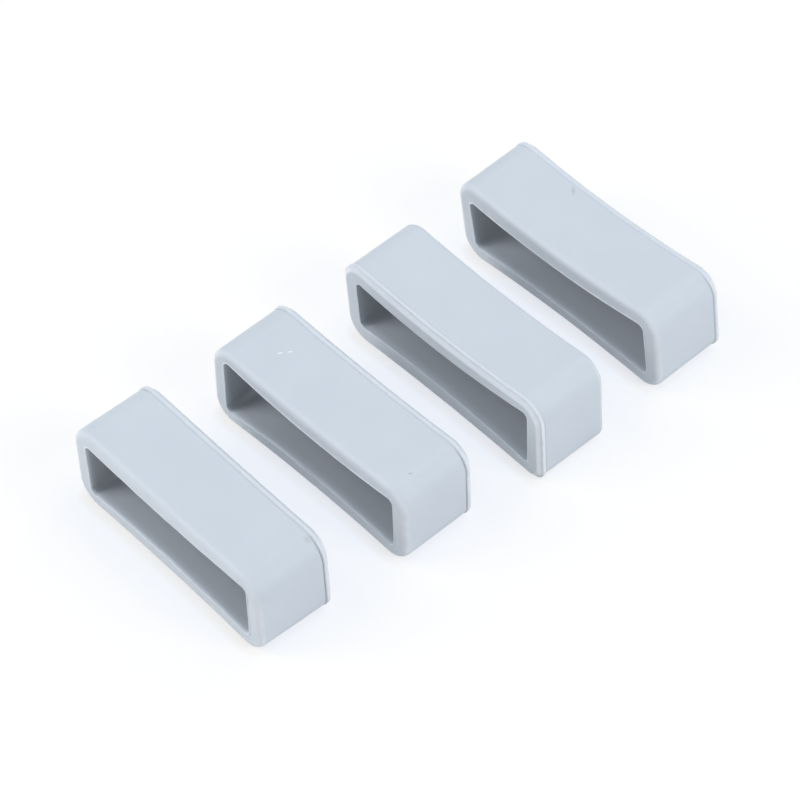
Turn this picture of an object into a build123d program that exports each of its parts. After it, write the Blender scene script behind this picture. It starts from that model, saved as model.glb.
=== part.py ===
"""A set of watch strap keepers, lying in a row on a table.

Each keeper is one soft moulding, a closed band with a passage for the strap. X runs
across the strap, Y along it and Z up. The origin is on the table, under the middle of
the row. One end of a keeper is plain and rounded, and the other has the mould's parting
line. Off the mould the walls lean a little and the long ones draw in, each keeper in its
own way, so each has its own shares below, from the front of the row to the back.
"""
import os
from math import cos, radians, sin, tan

from build123d import *

# Passage, wide enough for the strap and high enough for its two layers
strap_width = 22.0
strap_play = 0.3
passage_width = strap_width + strap_play
passage_height = 5.92
passage_corner = 0.73

# Band round the passage
side_wall = 1.69
ceiling_wall = 1.54
floor_wall = 2.02
outer_width = passage_width + 2 * side_wall
outer_height = floor_wall + passage_height + ceiling_wall
outer_corner = 2.55
depth = 8.45
plain_round = 0.65

# Parting line near the other end: a low rib of flash, then a cap that is set in a little
# and slopes off to the end face
cap_width = 0.38
cap_inset = 0.14
cap_slope = 0.28
rib_width = 0.4
rib_height = 0.1

# Thin bead of flash round the passage's mouth at the plain end
mouth_bead_width = 0.14
mouth_bead_height = 0.08

# Soft walls: how far they draw in and lean at most, and each keeper's share of it
ceiling_dip = 0.82
ceiling_dip_shares = (0.19, 0.39, 0.77, 1.0)
ceiling_swell = 0.18
floor_rise = 0.68
floor_rise_shares = (0.65, 0.92, 0.6, 0.93)
passage_rise_shares = (0.71, 1.0, 0.85, 0.72)
lean = 1.12
lean_shares = (-0.67, -0.33, -0.92, -1.0)
rest_flat_depth = 0.1

# The row: the gap from keeper to keeper, their sideways drift, how each one is turned,
# and which way its plain end looks, 1 being to the front of the row
row_gap = 7.1
row_pitch = depth + row_gap
row_place_shares = (-1.4956, -0.4753, 0.5294, 1.5056)
side_drift = 1.22
side_drift_shares = (-1.0, 0.0, 0.925, 0.613)
turns_in_degrees = (-1.56, 0.36, 0.14, 1.06)
plain_end_ways = (1, 1, -1, 1)

overrun = 1.0


def leaned(x, z, top_shift):
    """A point of the section, moved sideways as far as a wall that leans takes it."""
    return (x + top_shift * (z - outer_height / 2) / outer_height, z)


def draw_loop(width, base, height, corner, dip, rise, top_shift):
    """A round-cornered loop with leaning sides, its top dipped and its bottom raised.

    Each corner's rounding starts at the same distance from where the walls would meet,
    so it is tighter where a wall that leans makes the corner sharper.
    """
    left, right = -width / 2, width / 2
    top = base + height
    with BuildLine() as loop:
        left_side = Line(leaned(left, base, top_shift), leaned(left, top, top_shift))
        top_side = Spline(
            leaned(left, top, top_shift),
            leaned(0, top - dip, top_shift),
            leaned(right, top, top_shift),
        )
        right_side = Line(leaned(right, top, top_shift), leaned(right, base, top_shift))
        bottom_side = Spline(
            leaned(right, base, top_shift),
            leaned(0, base + rise, top_shift),
            leaned(left, base, top_shift),
        )
    make_face(loop.edges())
    sides = (left_side, top_side, right_side, bottom_side)
    for side, next_side in zip(sides, sides[1:] + sides[:1]):
        turned = radians((side % 1).get_angle(next_side % 0))
        fillet(vertices().sort_by_distance(side @ 1)[0], corner / tan(turned / 2))


def draw_band(grown, soft):
    """The band's outer loop, grown outward on every side."""
    draw_loop(
        outer_width + 2 * grown,
        -grown,
        outer_height + 2 * grown,
        outer_corner + grown,
        soft["ceiling_dip"],
        soft["floor_rise"],
        soft["top_shift"],
    )


def draw_passage(grown, soft):
    """The passage's loop, grown outward on every side."""
    draw_loop(
        passage_width + 2 * grown,
        floor_wall - grown,
        passage_height + 2 * grown,
        passage_corner + grown,
        soft["ceiling_dip"] + ceiling_swell,
        soft["passage_rise"],
        soft["top_shift"],
    )


os.makedirs("parts", exist_ok=True)

for index, place_share in enumerate(row_place_shares):
    name = f"keeper_{index + 1}"
    turn = radians(turns_in_degrees[index])
    toward_plain = plain_end_ways[index]
    soft = {
        "ceiling_dip": ceiling_dip * ceiling_dip_shares[index],
        "floor_rise": floor_rise * floor_rise_shares[index],
        "passage_rise": floor_rise * passage_rise_shares[index],
        "top_shift": lean * lean_shares[index],
    }

    # The lowest stretch of the band's section lies a hair under the table's level
    with BuildSketch() as section:
        draw_band(0, soft)
    lowest = section.sketch.bounding_box().min.Y

    # The section's plane, halfway along the keeper and facing the front of the row
    middle = Plane(
        origin=(
            side_drift * side_drift_shares[index],
            row_pitch * place_share,
            -lowest - rest_flat_depth,
        ),
        x_dir=(cos(turn), sin(turn), 0),
        z_dir=(sin(turn), -cos(turn), 0),
    )
    plain_end = middle.offset(toward_plain * depth / 2)
    lip_end = middle.offset(-toward_plain * depth / 2)
    parting_line = lip_end.offset(toward_plain * cap_width)
    along = Axis(middle.origin, middle.z_dir * toward_plain)

    with BuildPart() as keeper:
        # Band, with the outer edge of its plain end rounded
        with BuildSketch(parting_line):
            draw_band(0, soft)
        extrude(amount=toward_plain * (depth - cap_width))
        fillet(keeper.faces().sort_by(along)[-1].edges(), plain_round)

        # Cap beyond the parting line, its outer edge sloping off
        with BuildSketch(lip_end):
            draw_band(-cap_inset, soft)
        extrude(amount=toward_plain * cap_width)
        chamfer(keeper.faces().sort_by(along)[0].edges(), cap_slope)

        # Rib of flash on the band's side of the parting line
        with BuildSketch(parting_line):
            draw_band(rib_height, soft)
        extrude(amount=toward_plain * rib_width)

        # Bead round the mouth of the passage
        with BuildSketch(plain_end):
            draw_passage(mouth_bead_width, soft)
        extrude(amount=toward_plain * mouth_bead_height)

        # Passage, right through
        with BuildSketch(lip_end.offset(-toward_plain * overrun)):
            draw_passage(0, soft)
        extrude(amount=toward_plain * (depth + 2 * overrun), mode=Mode.SUBTRACT)

        # What would reach under the table's level is flat, and the keeper rests on it
        split(bisect_by=Plane.XY, keep=Keep.TOP)

    keeper.part.label = name
    export_step(keeper.part, f"parts/{name}.step")
    print(name, round(keeper.part.volume, 1), keeper.part.bounding_box())
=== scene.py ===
"""Four loose watch strap keepers, soft silicone mouldings in a row on a white table top.

Blender works in metres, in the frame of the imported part: X across the strap, Y along the
row, Z up, and the origin on the table under the middle of the row. The sizes below are in
millimetres, as a mould's drawing has them, and mm turns them into metres.
"""

from math import cos, pi, radians, sin, tan

import bpy
from mathutils import Matrix, Vector, noise


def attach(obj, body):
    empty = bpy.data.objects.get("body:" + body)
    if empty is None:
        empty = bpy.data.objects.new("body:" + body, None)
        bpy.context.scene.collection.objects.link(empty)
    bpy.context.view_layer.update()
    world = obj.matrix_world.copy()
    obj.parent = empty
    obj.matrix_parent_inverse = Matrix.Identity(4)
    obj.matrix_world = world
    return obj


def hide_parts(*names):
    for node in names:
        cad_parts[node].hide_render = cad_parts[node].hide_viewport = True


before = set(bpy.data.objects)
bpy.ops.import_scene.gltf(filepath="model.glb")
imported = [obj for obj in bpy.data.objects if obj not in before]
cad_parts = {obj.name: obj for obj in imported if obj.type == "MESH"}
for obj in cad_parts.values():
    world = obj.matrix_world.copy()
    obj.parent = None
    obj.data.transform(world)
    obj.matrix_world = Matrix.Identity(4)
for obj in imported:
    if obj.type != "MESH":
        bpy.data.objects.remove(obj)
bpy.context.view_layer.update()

# Band and passage: each keeper is one silicone moulding, a closed band round a passage for
# the strap. The wall is soft, so off the mould the long sides draw in and the band leans a
# little, and each of the four has settled in its own way.
mm = 0.001
passage_width = 22.3
passage_height = 5.92
passage_corner = 0.73
side_wall = 1.69
ceiling_wall = 1.54
floor_wall = 2.02
outer_width = passage_width + 2 * side_wall
outer_height = floor_wall + passage_height + ceiling_wall
outer_corner = 2.55
depth = 8.45
ceiling_swell = 0.18
rest_flat_depth = 0.1

long_side_points = 128
short_side_points = 40
corner_points = 16

# Each keeper: its place, its turn in degrees, and which way its plain end looks, 1 being to
# the front. How far its walls dip, rise and lean, how deep its groove by the rib is, where
# its rib has a nick, if it has one, and how round its lower right corner is beside the
# others. Then how far its band and its passage have settled off the even shape, at six
# points: lower left, upper left, top middle, upper right, lower right and bottom middle
keepers = (
    {
        "x": -1.220, "y": -23.257, "turn": -1.56, "plain": 1,
        "dip": 0.156, "rise": 0.442, "passage_rise": 0.483, "lean": -0.750,
        "groove": 1.0, "nick": None, "low_right_roundness": 1,
        "band": ((0, 0), (0, 0), (0, 0), (0, 0), (0, 0), (0, 0)),
        "passage": (
            (0.29, -0.26), (0.19, 0.03), (0, 0.18), (0.22, 0.37), (0.03, -0.22), (0, -0.22),
        ),
    },
    {
        "x": 0.000, "y": -7.391, "turn": 0.36, "plain": 1,
        "dip": 0.320, "rise": 0.626, "passage_rise": 0.680, "lean": -0.370,
        "groove": 0.9, "nick": (12.78, 6.25), "low_right_roundness": 1,
        "band": ((-0.1, 0), (-0.02, 0.13), (0, -0.02), (0, 0.12), (0, 0), (0, 0)),
        "passage": (
            (0.04, -0.44), (0.08, 0.54), (0, 0.2), (0.09, 0.21), (0.11, -0.25), (0, -0.2),
        ),
    },
    {
        "x": 1.129, "y": 8.232, "turn": 0.14, "plain": -1,
        "dip": 0.631, "rise": 0.408, "passage_rise": 0.578, "lean": -1.030,
        "groove": 0.25, "nick": None, "low_right_roundness": 0.52,
        "band": ((-0.24, 0), (-0.26, 0), (0, -0.03), (0.12, 0.12), (-0.24, 0), (0, 0)),
        "passage": (
            (-0.07, 0), (-0.07, -0.24), (0, -0.03), (0.3, 0.26), (-0.1, -0.4), (0, -0.15),
        ),
    },
    {
        "x": 0.748, "y": 23.408, "turn": 1.06, "plain": 1,
        "dip": 0.820, "rise": 0.632, "passage_rise": 0.490, "lean": -1.120,
        "groove": 0.6, "nick": None, "low_right_roundness": 1,
        "band": ((0.06, 0), (-0.3, 0), (0, 0.05), (0.12, 0.28), (0.18, 0), (0, 0)),
        "passage": (
            (0.21, -0.17), (-0.15, -0.5), (0, 0.02), (0.12, 0.08), (0.3, -0.18), (0, -0.3),
        ),
    },
)


def sagging_side(start, middle, end, steps=160):
    """Points on the smooth curve from start to end that passes through middle."""
    near = (middle - start).length
    far = near + (end - middle).length
    points = []
    for step in range(steps + 1):
        t = far * step / steps
        points.append(
            start * ((t - near) * (t - far) / (near * far))
            + middle * (t * (t - far) / (near * (near - far)))
            + end * (t * (t - near) / (far * (far - near)))
        )
    return points


def along(points, distance):
    """The point at that distance along a line of points, and the way it heads there."""
    for here, there in zip(points, points[1:]):
        step = (there - here).length
        if distance <= step or there is points[-1]:
            way = (there - here) / step
            return here + way * distance, way
        distance -= step


def rounded(start, way_in, end, way_out, cut):
    """Points that round a corner off, from start to end, each of them cut from its tip."""
    turned = way_in.angle(way_out)
    handle = 4 / 3 * tan(turned / 4) * cut / tan(turned / 2)
    knots = (start, start + way_in * handle, end - way_out * handle, end)
    points = []
    for step in range(1, corner_points):
        t = step / corner_points
        shares = ((1 - t) ** 3, 3 * t * (1 - t) ** 2, 3 * t ** 2 * (1 - t), t ** 3)
        blended = (knot * share for knot, share in zip(knots, shares))
        points.append(sum(blended, Vector((0, 0))))
    return points


def leaned(x, z, lean):
    """A point of the section, moved sideways as far as a wall that leans takes it."""
    return Vector((x + lean * (z - outer_height / 2) / outer_height, z))


def loop(width, base, height, corner, keeper, dip, rise, settled):
    """A closed line of (x, z) points: leaning sides, a dipped top and a raised bottom."""
    left, right, top = -width / 2, width / 2, base + height
    even_shape = (
        (left, base), (left, top), (0, top - dip),
        (right, top), (right, base), (0, base + rise),
    )
    low_left, top_left, top_middle, top_right, low_right, low_middle = (
        leaned(x, z, keeper["lean"]) + Vector(moved)
        for (x, z), moved in zip(even_shape, settled)
    )
    sides = (
        (low_left, top_left),
        sagging_side(top_left, top_middle, top_right),
        (top_right, low_right),
        sagging_side(low_right, low_middle, low_left),
    )
    corners = (corner, corner, corner, corner * keeper["low_right_roundness"])
    points = []
    for number, side in enumerate(sides):
        following = (number + 1) % 4
        length = sum((there - here).length for here, there in zip(side, side[1:]))
        before, after = corners[number], corners[following]
        clear = length - before - after
        count = long_side_points if number % 2 else short_side_points
        for step in range(count):
            points.append(along(side, before + clear * step / (count - 1))[0])
        start, way_in = along(side, length - after)
        end, way_out = along(sides[following], after)
        points += rounded(start, way_in, end, way_out, after)
    return points


def band_loop(keeper, grown):
    """The band's outside, grown outward by so much on every side."""
    return loop(
        outer_width + 2 * grown,
        -grown,
        outer_height + 2 * grown,
        outer_corner + grown,
        keeper,
        keeper["dip"],
        keeper["rise"],
        keeper["band"],
    )


def passage_loop(keeper, grown):
    """The passage's wall, grown outward by so much on every side."""
    return loop(
        passage_width + 2 * grown,
        floor_wall - grown,
        passage_height + 2 * grown,
        passage_corner + grown,
        keeper,
        keeper["dip"] + ceiling_swell,
        keeper["passage_rise"],
        keeper["passage"],
    )


# Ends, rib and bead: the mould closes near one end, where a low ragged rib of flash stands
# round the band, with a cap beyond it that is set in and slopes off. The other end is plain
# and rounded, with a thin bead of flash round the mouth of the passage.
plain_round = 0.65
cap_width = 0.38
cap_inset = 0.14
cap_slope = 0.28
cap_face_start = 1.15
rib_width = 0.4
rib_height = 0.1
groove_depth = 0.07
groove_reach = 0.22
bead_width = 0.14
bead_height = 0.08
mouth_round = 0.07

# Groove at the rib's foot: distance from the foot, and share of the depth, which also sets
# how much painted shade lies in it. Along the top it is shallower than down the sides
groove_profile = ((0.17, 0.15), (0.13, 0.7), (0.09, 1.0), (0.05, 1.0), (0.02, 0.6))
groove_top_share = 0.3
# Rib: share of its width from the foot, and share of its height
rib_profile = (
    (0.0, 0.2), (0.08, 0.55), (0.2, 0.85), (0.35, 0.98),
    (0.6, 1.0), (0.8, 0.93), (0.92, 0.7), (1.0, 0.35),
)
# Soft step down to the cap: share of the cap's width, share of the inset, and painted
# highlight
step_profile = ((0.06, 0.2, 0.6), (0.12, 0.6, 0.9), (0.19, 0.92, 0.9), (0.26, 1.0, 0.6))
# Cap's slope: share of its length, and share of its fall
slope_profile = (
    (0.0, 0.02), (0.1, 0.11), (0.3, 0.3), (0.5, 0.5),
    (0.7, 0.7), (0.85, 0.86), (0.95, 0.98), (1.0, 1.06),
)

# Painted highlight on the thin edges and the faces, 1 being the palest, and how much more
# painted highlight goes down the short sides
face_painted_highlight = 0.35
bead_foot_painted_highlight, bead_foot_side_highlight = 0.5, 0.3
bead_painted_highlight, bead_side_highlight = 1, 0.6
round_painted_highlight, round_side_highlight = 0.05, 0.85
rib_painted_highlight, rib_side_highlight = 0.55, 0.8
step_side_highlight = 0.5
slope_painted_highlight, slope_side_highlight = 0.5, 1.2

# Painted shade darkens the passage's skin, fully so this far from its mouth
passage_painted_shade = 0.95
passage_painted_shade_reach = 0.8

wall_rings = 34
passage_rings = 26
face_rings = 7
round_rings = 8
bead_rings = 10


def ring_plan():
    """The rings of the skin, from the cap's end through the passage and back outside.

    Each is (kind, distance, grown, painted light, side highlight, mouth_grown, share): the
    distance is from the middle towards the plain end, and grown is how far its loop is grown.
    The painted light value is up to 1 for a painted highlight on the thin edges and faces,
    and below 0 for painted shade in the groove and in the passage. The side highlight is more
    painted highlight, added to it down the short sides. A face's ring lies at that share of
    the way from the band's loop to the passage's, which is grown by mouth_grown.
    """
    plan = []

    def add(kind, distance, grown, painted_light_and_shade, side_highlight=0, mouth_grown=0, share=0):
        plan.append((kind, distance, grown, painted_light_and_shade, side_highlight, mouth_grown, share))

    half = depth / 2
    quarter = [pi / 2 * step / round_rings for step in range(round_rings + 1)]
    # Passage, from its mouth at the cap's end
    # The passage's rounded mouth carries painted highlight
    for a in quarter:
        add("passage", -half + mouth_round * (1 - cos(a)), mouth_round * (1 - sin(a)), cos(a))
    clear = depth - mouth_round
    for step in range(1, passage_rings):
        from_mouth = min(step, passage_rings - step) * clear / passage_rings
        # Painted shade on the passage's skin, growing in from both mouths
        shade = passage_painted_shade * min(from_mouth / passage_painted_shade_reach, 1)
        add("passage", -half + mouth_round + clear * step / passage_rings, 0, -shade)
    # Bead round its mouth at the plain end
    top = half + bead_height
    radius = bead_width / 2
    add("passage", top - radius, 0, bead_foot_painted_highlight, bead_foot_side_highlight)
    for a in [pi * step / bead_rings for step in range(1, bead_rings)]:
        add("bead", top - radius * (1 - sin(a)), radius * (1 - cos(a)), bead_painted_highlight,
            bead_side_highlight)
    # Plain end's face and its rounded edge
    for step in range(face_rings + 1):
        add("face", half, -plain_round, face_painted_highlight, 0, bead_width, 1 - step / face_rings)
    for a in quarter[1:]:
        # Painted highlight on the face and on the crest of its rounded edge
        pale = face_painted_highlight * cos(a) + round_painted_highlight * sin(2 * a) ** 2
        add("band", half - plain_round * (1 - cos(a)), -plain_round * (1 - sin(a)), pale,
            round_side_highlight * sin(2 * a))
    # Wall, as far as the groove
    rib_start = -half + cap_width
    rib_end = rib_start + rib_width
    wall_start, wall_end = half - plain_round, rib_end + groove_reach
    for step in range(1, wall_rings + 1):
        add("band", wall_start + (wall_end - wall_start) * step / wall_rings, 0, 0)
    # Groove at the rib's foot, and the rib
    # The groove is darkened with painted shade as deep as it is
    for beside, sunk in groove_profile:
        add("groove", rib_end + beside, -groove_depth * sunk, -sunk)
    # The rib carries painted highlight as high as it stands
    for share, height in rib_profile:
        add("rib", rib_end - rib_width * share, rib_height * height, rib_painted_highlight * height,
            rib_side_highlight * height)
    # Cap: the soft step down to it, its slope and its face
    # The step and the slope carry painted highlight
    for share, sunk, pale in step_profile:
        add("band", rib_start - cap_width * share, -cap_inset * sunk, pale, step_side_highlight)
    for share, sunk in slope_profile:
        add("band", -half + cap_slope * (1 - share), -cap_inset - cap_slope * sunk,
            slope_painted_highlight, slope_side_highlight * (1 - share ** 4))
    for step in range(1, face_rings):
        add("face", -half, -cap_inset - cap_face_start * cap_slope, face_painted_highlight, 0,
            mouth_round, step / face_rings)
    return plan


# Ragged flash: its mean height as a share of the full one, then how much and over what
# length it varies, each with a layer of noise of its own
rib_flash = (0.85, ((0.3, 2.6, 0), (0.25, 0.7, 4)))
bead_flash = (0.8, ((0.4, 1.9, 8), (0.3, 0.55, 12)))
lowest_flash = 0.3
nick_radius = 0.3
nick_bottom = 0.1

# The skin is never quite even, and lies a hair inside the mould's own shape
broad_wave, broad_wave_size = 0.02, 4.3
fine_wave, fine_wave_size = 0.008, 1.4


def uneven(point, size, seed):
    """Smooth noise between about -1 and 1, with bumps of that size, other for each seed."""
    return noise.noise(point / size + Vector((seed * 7.3, seed * 3.1, seed * 1.7)))


def ragged(point, flash, number):
    """The share of its full height that a line of flash has at a point."""
    share, variations = flash
    for amount, size, layer in variations:
        share += amount * uneven(Vector((point.x, layer, point.y)), size, number)
    return min(max(share, lowest_flash), 1)


def nicked(point, keeper):
    """The share of the rib's height that a nick leaves at a point."""
    if not keeper["nick"]:
        return 1
    away = (point - Vector(keeper["nick"])).length
    return min(nick_bottom + (away / nick_radius) ** 2, 1)


def trim_share(kind, point, normal, number, keeper):
    """The share of its full depth or height that the groove or the flash has at a point."""
    if kind == "groove":
        return keeper["groove"] * (groove_top_share + (1 - groove_top_share) * abs(normal.x))
    if kind == "rib":
        return ragged(point, rib_flash, number) * nicked(point, keeper)
    return ragged(point, bead_flash, number)


def skin_faces(rings, count, plain):
    """The faces between rings of so many points, the last ring joined to the first.

    A keeper whose plain end looks to the back is mirrored, so its faces are turned over.
    """
    faces = []
    for ring in range(rings):
        next_ring = (ring + 1) % rings
        for place in range(count):
            beside = (place + 1) % count
            face = (
                ring * count + place, ring * count + beside,
                next_ring * count + beside, next_ring * count + place,
            )
            faces.append(face if plain > 0 else face[::-1])
    return faces


def make_keeper(number, keeper):
    """The mesh of one keeper, in its place in the row."""
    loops = {}

    def grown_loop(wall, grown):
        key = (wall, round(grown, 4))
        if key not in loops:
            loops[key] = (passage_loop if wall == "passage" else band_loop)(keeper, grown)
        return loops[key]

    plan = ring_plan()
    full_height = {"bead": bead_width, "rib": rib_height, "groove": -groove_depth}
    turn = radians(keeper["turn"])
    across = Vector((cos(turn), sin(turn), 0))
    to_plain_end = Vector((sin(turn), -cos(turn), 0)) * keeper["plain"]
    lowest = min(point.y for point in grown_loop("band", 0))
    origin = Vector((keeper["x"], keeper["y"], -lowest - rest_flat_depth))
    count = len(grown_loop("band", 0))
    vertices, painted_light_and_shade_values = [], []
    for kind, distance, grown, painted_light_and_shade, side_highlight, mouth_grown, face_share in plan:
        wall = "passage" if kind in ("passage", "bead") else "band"
        base = grown_loop(wall, 0)
        if kind == "face":
            outer, inner = grown_loop("band", grown), grown_loop("passage", mouth_grown)
            points = [a.lerp(b, face_share) for a, b in zip(outer, inner)]
        elif kind in full_height:
            full, share = grown_loop(wall, full_height[kind]), grown / full_height[kind]
            points = [a.lerp(b, share) for a, b in zip(base, full)]
        else:
            points = grown_loop(wall, grown)
        for place, point in enumerate(points):
            before, after = base[place - 1], base[(place + 1) % count]
            normal = Vector((before.y - after.y, after.x - before.x)).normalized()
            # Painted light and shade at this point, with more painted highlight where the
            # skin faces sideways
            shown = painted_light_and_shade + side_highlight * normal.x ** 2
            along_keeper = distance
            if kind in full_height:
                share = trim_share(kind, point, normal, number, keeper)
                point = base[place].lerp(point, share)
                # In the groove the painted shade follows how deep it is here
                if kind == "groove":
                    shown = painted_light_and_shade * share
                if kind == "bead":
                    along_keeper = depth / 2 + (distance - depth / 2) * share
            spot = Vector((point.x, along_keeper, point.y))
            if kind not in ("face", "bead"):
                wave = broad_wave * (uneven(spot, broad_wave_size, number + 5) - 1)
                wave += fine_wave * uneven(spot, fine_wave_size, number + 9)
                spot.x += normal.x * wave
                spot.z += normal.y * wave
            placed = origin + across * spot.x + to_plain_end * spot.y + Vector((0, 0, spot.z))
            # The underside is flat where it rests on the table
            placed.z = max(placed.z, 0)
            vertices.append(placed * mm)
            painted_light_and_shade_values.append(shown)
    faces = skin_faces(len(plan), count, keeper["plain"])
    mesh = bpy.data.meshes.new(f"silicone_keeper_{number}")
    mesh.from_pydata([tuple(v) for v in vertices], [], faces)
    mesh.update()
    mesh.shade_smooth()
    # The painted light and shade of each point, for the material
    mesh.attributes.new("painted_light_and_shade", "FLOAT", "POINT").data.foreach_set("value", painted_light_and_shade_values)
    return mesh


for number, keeper in enumerate(keepers, 1):
    mesh = make_keeper(number, keeper)
    piece = bpy.data.objects.new(f"moulding_{number}", mesh)
    bpy.context.scene.collection.objects.link(piece)
    keeper["piece"] = piece
    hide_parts(f"keeper_{number}")
    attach(piece, f"keeper_{number}")

# Silicone: the keepers are moulded in one pale blue-grey rubber, satin and a little
# translucent. Painted highlights pale its thin edges and faces, and painted shade darkens the
# passage and the groove. The skin has the faint mottle of the mould's blasted steel and a few
# small marks.
mottle_colours = ((0.472, 0.522, 0.578, 1), (0.484, 0.534, 0.59, 1))
mottle_size = 4.0
painted_highlight_colour = (0.64, 0.668, 0.712, 1)
painted_highlight_strength = (0.25, 1.0)
painted_highlight_patch_size = 1.1
painted_shade_colour = (0.262, 0.268, 0.283, 1)
painted_shade_strength = 0.6
satin_roughness = (0.44, 0.58)
satin_patch_size = 1.6
grain_size = 0.16
grain_height = 0.01
grain_strength = 0.25
light_depth = 0.8

# Small marks: centre, heading in degrees, half length, half width, grey and strength
marks = (
    ((10.66, -8.9, 9.02), 62, 0.22, 0.1, 0.12, 0.85),
    ((-7.8, -7.8, 8.98), 55, 0.35, 0.12, 0.8, 0.9),
    ((-7.3, -7.02, 8.97), 59, 0.3, 0.12, 0.8, 0.9),
    ((-4.24, 26.11, 8.45), -42, 0.75, 0.22, 0.25, 0.5),
    ((13.86, 23.7, 2.1), 90, 0.16, 0.16, 0.05, 1.5),
    ((9.85, -20.5, 9.0), 45, 0.6, 0.45, 0.3, 0.35),
)

silicone = bpy.data.materials.new("silicone")
silicone.use_nodes = True
nodes, links = silicone.node_tree.nodes, silicone.node_tree.links
shader = nodes["Principled BSDF"]
shader.inputs["IOR"].default_value = 1.41
shader.inputs["Subsurface Weight"].default_value = 0.05
shader.inputs["Subsurface Radius"].default_value = (1.0, 1.15, 1.3)
shader.inputs["Subsurface Scale"].default_value = light_depth * mm
where = nodes.new("ShaderNodeTexCoord")


def noise_node(size, detail):
    """Noise in the row's own space, with bumps of that size in millimetres."""
    made = nodes.new("ShaderNodeTexNoise")
    made.inputs["Scale"].default_value = 1 / (size * mm)
    made.inputs["Detail"].default_value = detail
    links.new(where.outputs["Object"], made.inputs["Vector"])
    return made.outputs["Fac"]


def ranged(value, lowest, highest):
    """A value from 0 to 1, spread over another range."""
    made = nodes.new("ShaderNodeMapRange")
    made.inputs["To Min"].default_value = lowest
    made.inputs["To Max"].default_value = highest
    links.new(value, made.inputs["Value"])
    return made.outputs["Result"]


def times(value, factor):
    """A value times a number or another value, kept between 0 and 1."""
    made = nodes.new("ShaderNodeMath")
    made.operation = "MULTIPLY"
    made.use_clamp = True
    links.new(value, made.inputs[0])
    if isinstance(factor, bpy.types.NodeSocket):
        links.new(factor, made.inputs[1])
    else:
        made.inputs[1].default_value = factor
    return made.outputs["Value"]


def laid_over(under, colour, amount):
    """The colour laid over what is under it, by that amount."""
    made = nodes.new("ShaderNodeMix")
    made.data_type = "RGBA"
    made.inputs["B"].default_value = colour
    links.new(amount, made.inputs["Factor"])
    links.new(under, made.inputs["A"])
    return made.outputs["Result"]


def mark(centre, heading, half_length, half_width, grey, strength, under):
    """A small soft mark on the skin, laid over the colour under it. Sizes are in mm."""
    spot = nodes.new("ShaderNodeMapping")
    spot.vector_type = "TEXTURE"
    spot.inputs["Location"].default_value = Vector(centre) * mm
    spot.inputs["Rotation"].default_value = (0, 0, radians(heading))
    spot.inputs["Scale"].default_value = (half_length * mm, half_width * mm, half_length * mm)
    links.new(where.outputs["Object"], spot.inputs["Vector"])
    blob = nodes.new("ShaderNodeTexGradient")
    blob.gradient_type = "SPHERICAL"
    links.new(spot.outputs["Vector"], blob.inputs["Vector"])
    return laid_over(under, (grey, grey, grey, 1), times(blob.outputs["Fac"], strength))


# Colour: the mottle, with painted highlight where the painted light value is above 0 and
# painted shade where it is below
mottle = nodes.new("ShaderNodeValToRGB")
for stop, position, colour in zip(mottle.color_ramp.elements, (0.3, 0.7), mottle_colours):
    stop.position = position
    stop.color = colour
links.new(noise_node(mottle_size, detail=4), mottle.inputs["Fac"])
painted_light_and_shade = nodes.new("ShaderNodeAttribute")
painted_light_and_shade.attribute_name = "painted_light_and_shade"
patches = ranged(noise_node(painted_highlight_patch_size, detail=3), *painted_highlight_strength)
# Painted highlight, in patches, laid over the mottle
painted_highlight = times(painted_light_and_shade.outputs["Fac"], patches)
colour = laid_over(mottle.outputs["Color"], painted_highlight_colour, painted_highlight)
# Painted shade in the passage and the groove
painted_shade = times(painted_light_and_shade.outputs["Fac"], -painted_shade_strength)
colour = laid_over(colour, painted_shade_colour, painted_shade)
for one_mark in marks:
    colour = mark(*one_mark, colour)
links.new(colour, shader.inputs["Base Color"])

# Satin gloss in patches, over the mould's fine grain
satin = ranged(noise_node(satin_patch_size, detail=5), *satin_roughness)
links.new(satin, shader.inputs["Roughness"])
bump = nodes.new("ShaderNodeBump")
bump.inputs["Strength"].default_value = grain_strength
bump.inputs["Distance"].default_value = grain_height * mm
links.new(noise_node(grain_size, detail=3), bump.inputs["Height"])
links.new(bump.outputs["Normal"], shader.inputs["Normal"])
for keeper in keepers:
    keeper["piece"].data.materials.append(silicone)

# Table top: a plain sheet of matte white. Light that bounces off it sees that white. The
# camera sees it as an overexposed picture shows white paper, with only a faint, cool trace
# of the shadows and a narrow painted contact shadow, taken from occlusion, where each keeper
# stands.
reach = 3.0
table_white = (0.93, 0.915, 0.9, 1)
shadow_trace = (0.24, 0.19, 0.07, 1)
open_glow = (0.71, 0.77, 0.913, 1)
painted_contact_shadow = (0.6, 0.61, 0.66, 1)
contact_reach = 1.2
contact_side = (0.6, 0.75, 0.28)

table_mesh = bpy.data.meshes.new("floor")
table_mesh.from_pydata(
    [(-reach, -reach, 0), (reach, -reach, 0), (reach, reach, 0), (-reach, reach, 0)],
    [],
    [(0, 1, 2, 3)],
)
floor = bpy.data.objects.new("floor", table_mesh)
bpy.context.scene.collection.objects.link(floor)
white = bpy.data.materials.new("white_table")
white.use_nodes = True
nodes, links = white.node_tree.nodes, white.node_tree.links
nodes.remove(nodes["Principled BSDF"])
matte = nodes.new("ShaderNodeBsdfDiffuse")
matte.inputs["Color"].default_value = table_white
trace = nodes.new("ShaderNodeBsdfDiffuse")
trace.inputs["Color"].default_value = shadow_trace
behind = nodes.new("ShaderNodeCombineXYZ")
for axis, value in zip("XYZ", contact_side):
    behind.inputs[axis].default_value = value
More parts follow.
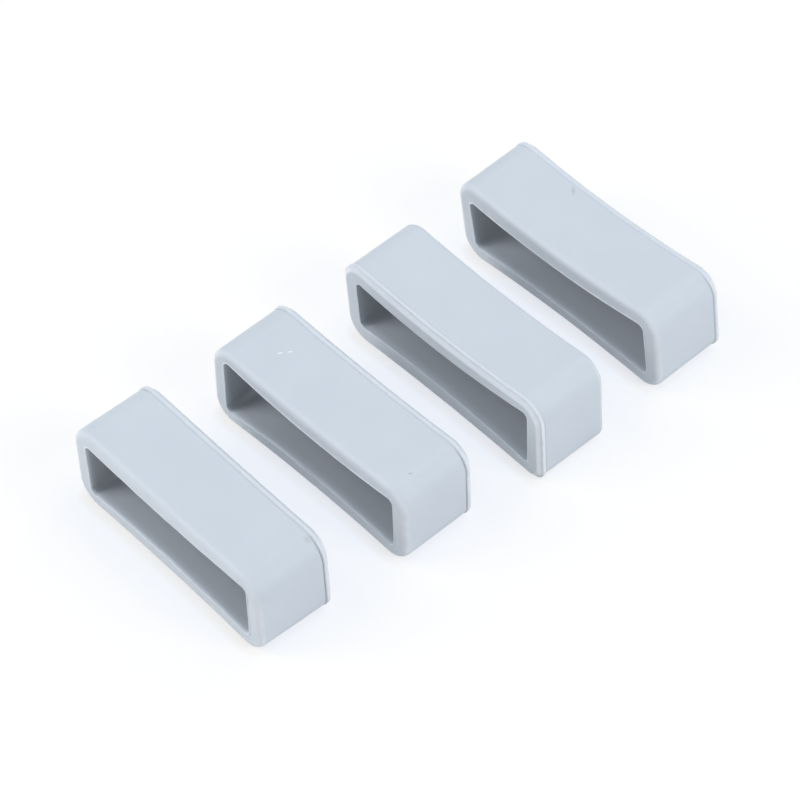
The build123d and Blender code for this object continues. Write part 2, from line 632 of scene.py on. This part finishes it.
# Painted contact shadow: occlusion, sought towards the back and right, darkens the glow the
# camera sees
close = nodes.new("ShaderNodeAmbientOcclusion")
close.samples = 4
close.inputs["Distance"].default_value = contact_reach * mm
links.new(behind.outputs["Vector"], close.inputs["Normal"])
contact = nodes.new("ShaderNodeMix")
contact.data_type = "RGBA"
contact.inputs["A"].default_value = painted_contact_shadow
contact.inputs["B"].default_value = open_glow
links.new(close.outputs["AO"], contact.inputs["Factor"])
glow = nodes.new("ShaderNodeEmission")
links.new(contact.outputs["Result"], glow.inputs["Color"])
seen = nodes.new("ShaderNodeAddShader")
links.new(trace.outputs["BSDF"], seen.inputs[0])
links.new(glow.outputs["Emission"], seen.inputs[1])
rays = nodes.new("ShaderNodeLightPath")
either = nodes.new("ShaderNodeMixShader")
links.new(rays.outputs["Is Camera Ray"], either.inputs["Fac"])
links.new(matte.outputs["BSDF"], either.inputs[1])
links.new(seen.outputs["Shader"], either.inputs[2])
links.new(either.outputs["Shader"], nodes["Material Output"].inputs["Surface"])
table_mesh.materials.append(white)

# Light: six soft square lamps stand above, behind, at the back's right and at the front's
# left, in an evenly pale room whose backdrop shows white in gloss. None shines from the
# front's right, so the passages stay dim on the left.
room_colour = (0.925, 0.948, 1.0, 1)
room_strength = 0.4
backdrop_colour = (1.0, 1.0, 1.0, 1)
backdrop_strength = 1.0
cool_white = (0.975, 0.995, 1.0)

world = bpy.data.worlds.new("room")
bpy.context.scene.world = world
world.use_nodes = True
nodes, links = world.node_tree.nodes, world.node_tree.links
room = nodes["Background"]
room.inputs["Color"].default_value = room_colour
room.inputs["Strength"].default_value = room_strength
backdrop = nodes.new("ShaderNodeBackground")
backdrop.inputs["Color"].default_value = backdrop_colour
backdrop.inputs["Strength"].default_value = backdrop_strength
rays = nodes.new("ShaderNodeLightPath")
either = nodes.new("ShaderNodeMixShader")
links.new(rays.outputs["Is Glossy Ray"], either.inputs["Fac"])
links.new(room.outputs["Background"], either.inputs[1])
links.new(backdrop.outputs["Background"], either.inputs[2])
links.new(either.outputs["Shader"], nodes["World Output"].inputs["Surface"])


def lamp(name, position, size, power, colour):
    """A square area lamp that faces the row."""
    data = bpy.data.lights.new(name, "AREA")
    data.size = size
    data.energy = power
    data.color = colour
    light = bpy.data.objects.new(name, data)
    bpy.context.scene.collection.objects.link(light)
    light.location = position
    light.rotation_euler = (-Vector(position)).to_track_quat("-Z", "Y").to_euler()


lamp("overhead", (0.0, 0.2, 0.57), 0.35, 0.59, cool_white)
lamp("back", (-0.05, 0.46, 0.38), 0.3, 0.5, cool_white)
lamp("back right", (0.48, 0.16, 0.35), 0.3, 2.05, (0.99, 1.0, 1.0))
lamp("front left", (-0.367, -0.367, 0.3), 0.25, 1.1, (1.0, 0.99, 0.97))
lamp("low front left", (-0.332, -0.475, 0.155), 0.2, 0.4, (1.0, 0.97, 0.94))
lamp("high front left", (-0.261, -0.261, 0.473), 0.3, 1.04, (0.91, 0.962, 1.0))

# Camera: a long lens stands close to the row and looks down on it from its front right. Its
# place and its lens were fitted to the outlines in an 800 pixel wide picture.
azimuth, elevation, roll = radians(46.862), radians(49.858), radians(0.001)
distance = 426.534
target = (-1.787, 1.519, 0)
picture_width_in_pixels = 800
focal_length_in_pixels = 4601.928

back = Vector((sin(azimuth) * cos(elevation), -cos(azimuth) * cos(elevation), sin(elevation)))
right = (-back).cross(Vector((0, 0, 1))).normalized()
up = right.cross(-back)
right, up = right * cos(roll) + up * sin(roll), up * cos(roll) - right * sin(roll)
camera_data = bpy.data.cameras.new("camera")
camera_data.sensor_width = 36
camera_data.lens = focal_length_in_pixels / picture_width_in_pixels * camera_data.sensor_width
camera_data.clip_start = 0.01
camera = bpy.data.objects.new("camera", camera_data)
bpy.context.scene.collection.objects.link(camera)
camera_place = Matrix((right, up, back)).transposed().to_4x4()
camera_place.translation = Vector(target) * mm + back * (distance * mm)
camera.matrix_world = camera_place
bpy.context.scene.camera = camera
bpy.context.scene.view_settings.view_transform = "Standard"
